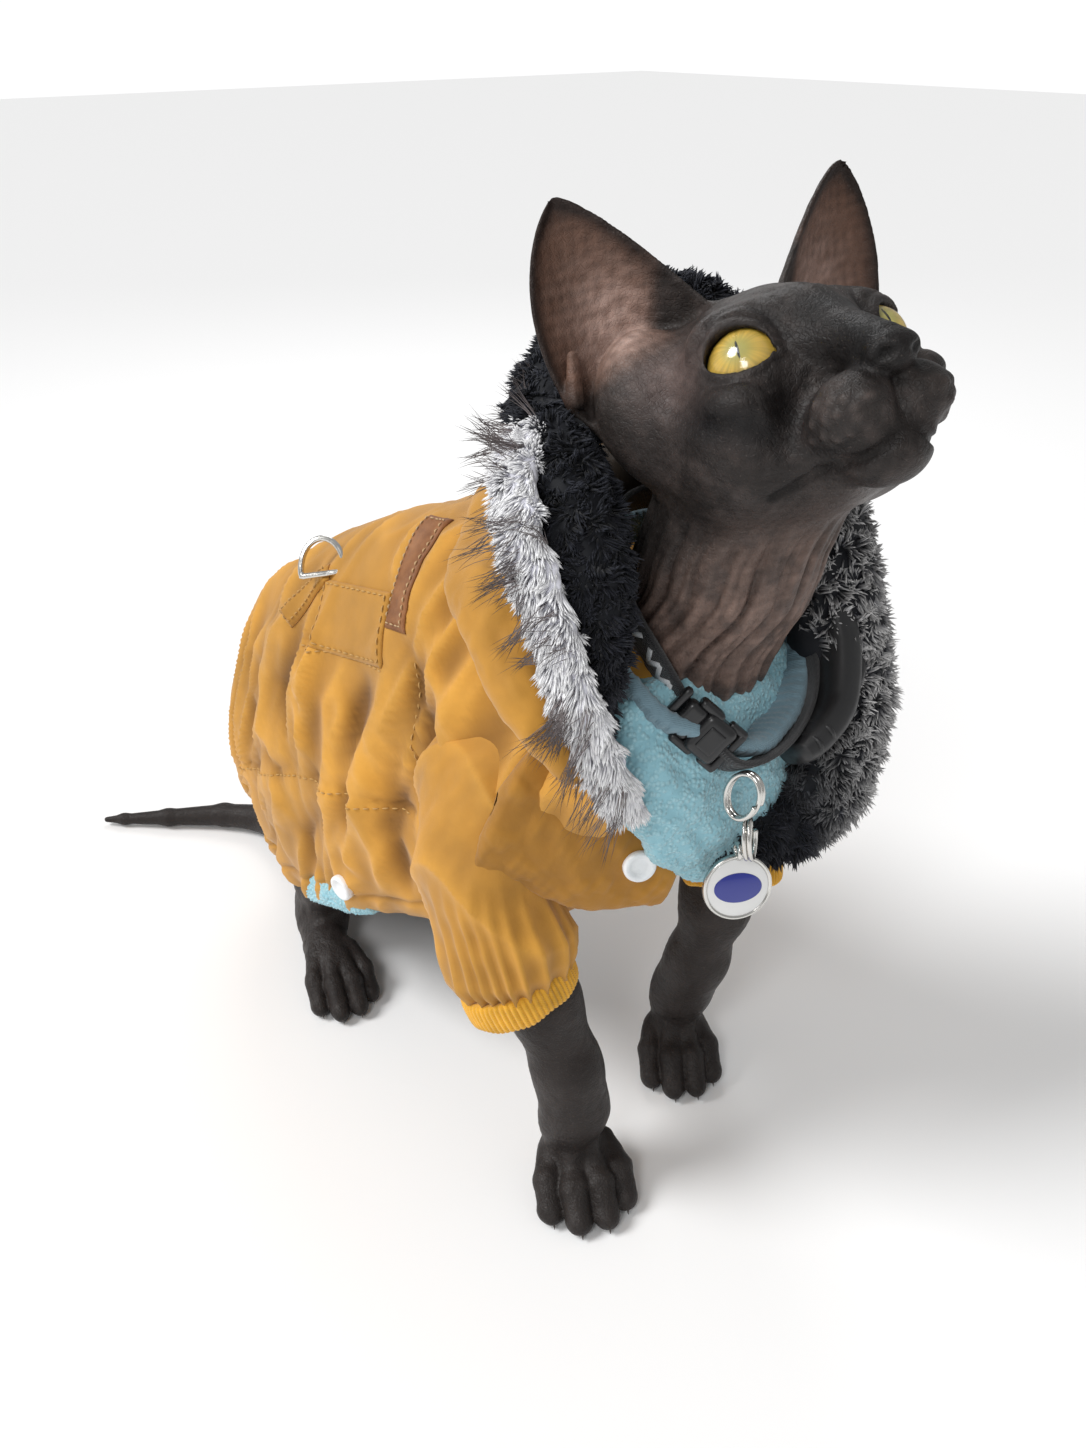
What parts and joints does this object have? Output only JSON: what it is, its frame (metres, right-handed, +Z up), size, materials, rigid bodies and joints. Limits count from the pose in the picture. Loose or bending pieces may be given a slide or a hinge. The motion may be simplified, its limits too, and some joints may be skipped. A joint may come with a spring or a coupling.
{
  "type": "sphynx cat",
  "caption": "Hairless cat at life size, half sitting and looking up, in a hooded coat with a plush-lined hood, a knitted shirt and a collar with a round tag.",
  "frame": {"origin": "middle of the bounding box at floor level", "axes": "+Z up, the cat faces -Y, its left side is +X"},
  "size_m": [0.1568, 0.4232, 0.3466],
  "materials": {
    "black_plastic": "satin",
    "coat_cloth": "matt twill",
    "cuff_knit": "ribbed knit",
    "ear_skin": "satin bare skin",
    "eye": "clear glossy",
    "leather": "smooth",
    "plush": "deep pile",
    "shirt_knit": "soft knit",
    "skin": "satin bare skin",
    "snap_plastic": "gloss",
    "steel": "polished",
    "strap_web": "woven nylon",
    "tag_enamel": "enamel",
    "throat_skin": "satin bare skin",
    "trim_fur": "long pile"
  },
  "bodies": {
    "root": {"head": "skin", "ear_left": "ear_skin", "eye_left": "eye", "ear_right": "ear_skin", "eye_right": "eye", "neck": "throat_skin", "forepaw_right": "skin", "forepaw_left": "skin", "hindpaw_right": "skin", "hindpaw_left": "skin", "foreleg_left": "skin", "hindleg_left": "skin", "foreleg_right": "skin", "hindleg_right": "skin", "torso": "skin", "tail_root": "skin", "tail_tip": "skin", "collar_strap": "strap_web", "shirt_neckband": "shirt_knit", "shirt_bib": "shirt_knit", "hood_fur_edge": "trim_fur", "hood_cloth": "coat_cloth", "collar_buckle": "black_plastic", "collar_tracker": "black_plastic", "ring_large": "steel", "ring_small": "steel", "tag": "tag_enamel", "hood_plush": "plush", "coat_body": "coat_cloth", "coat_flap": "coat_cloth", "pocket_flap": "coat_cloth", "back_tab": "coat_cloth", "back_ring": "steel", "back_label": "leather", "snap_hem": "snap_plastic", "snap_chest": "snap_plastic", "shirt_hem": "shirt_knit", "sleeve_left": "coat_cloth", "cuff_left": "cuff_knit", "sleeve_right": "coat_cloth", "cuff_right": "cuff_knit"}
  },
  "joints": []
}
